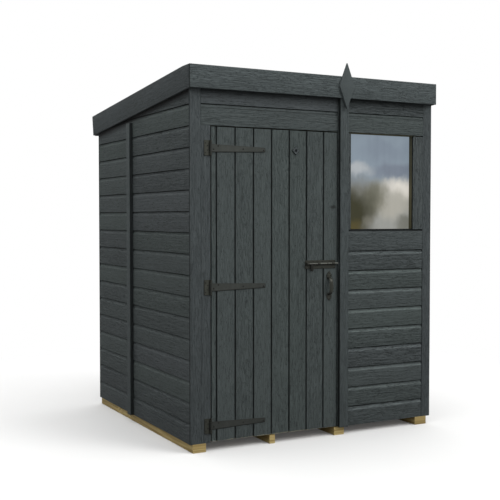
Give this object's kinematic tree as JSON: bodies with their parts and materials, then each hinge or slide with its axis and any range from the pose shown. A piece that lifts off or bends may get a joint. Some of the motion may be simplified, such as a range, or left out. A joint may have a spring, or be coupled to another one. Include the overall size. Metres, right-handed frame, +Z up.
{
  "type": "pent garden shed",
  "caption": "Free-standing pent garden shed: shiplap walls on bearers, a boarded door that swings on T-hinges, a sliding bolt, a fixed window and a mono-pitch roof.",
  "frame": {"origin": "middle of the shed's box, on the ground under the bearers", "axes": "+X to the right along the front, +Y from the front to the back, +Z up"},
  "size_m": [1.664, 1.659, 2.165],
  "materials": {
    "painted_boards": "satin anthracite paint over grained boards",
    "painted_trim": "satin anthracite paint over grained boards",
    "treated_pine": "sawn, pressure treated",
    "sawn_softwood": "sawn, bare",
    "floor_boards": "planed, bare",
    "roof_sheet": "strand board",
    "roof_felt": "mineral felt",
    "window_glass": "clear",
    "black_ironwork": "black, slightly worn"
  },
  "bodies": {
    "shed": {"bearers": "treated_pine", "floor_deck": "floor_boards", "front_trim_left": "painted_trim", "door_jamb_board": "painted_trim", "front_header": "painted_boards", "front_joint_board": "painted_boards", "window_apron": "painted_boards", "window_header": "painted_boards", "window_side_board": "painted_boards", "front_trim_right": "painted_trim", "front_strip": "painted_trim", "front_studs": "sawn_softwood", "front_rails": "sawn_softwood", "left_wall_front": "painted_boards", "left_wall_back": "painted_boards", "right_wall_front": "painted_boards", "right_wall_back": "painted_boards", "side_strips": "painted_trim", "side_studs": "sawn_softwood", "side_rails": "sawn_softwood", "back_wall_left": "painted_boards", "back_wall_right": "painted_boards", "back_strip": "painted_trim", "back_trims": "painted_trim", "back_studs": "sawn_softwood", "back_rails": "sawn_softwood", "purlins": "sawn_softwood", "roof_deck": "roof_sheet", "roof_felt": "roof_felt", "front_fascia_left": "painted_trim", "front_fascia_right": "painted_trim", "left_fascia": "painted_trim", "right_fascia": "painted_trim", "back_fascia": "painted_trim", "finial": "painted_trim", "window_pane": "window_glass", "window_beads": "sawn_softwood", "hinge_plates": "black_ironwork"},
    "door": {"door_leaf": "painted_boards", "door_ledges": "sawn_softwood", "hinge_straps": "black_ironwork", "bolt_plate": "black_ironwork", "pull_handle": "black_ironwork", "door_diamond": "painted_trim"},
    "bolt": {"bolt_rod": "black_ironwork"}
  },
  "joints": [
    {"name": "door_hinge", "type": "hinge", "parent": "shed", "child": "door", "pos_m": [-0.691, -0.7945, 0.848], "axis": [0, 0, -1], "range_deg": [0, 170]},
    {"name": "bolt_slide", "type": "slide", "parent": "door", "child": "bolt", "axis": [1, 0, 0], "range_m": [-0.012, 0.022]}
  ]
}
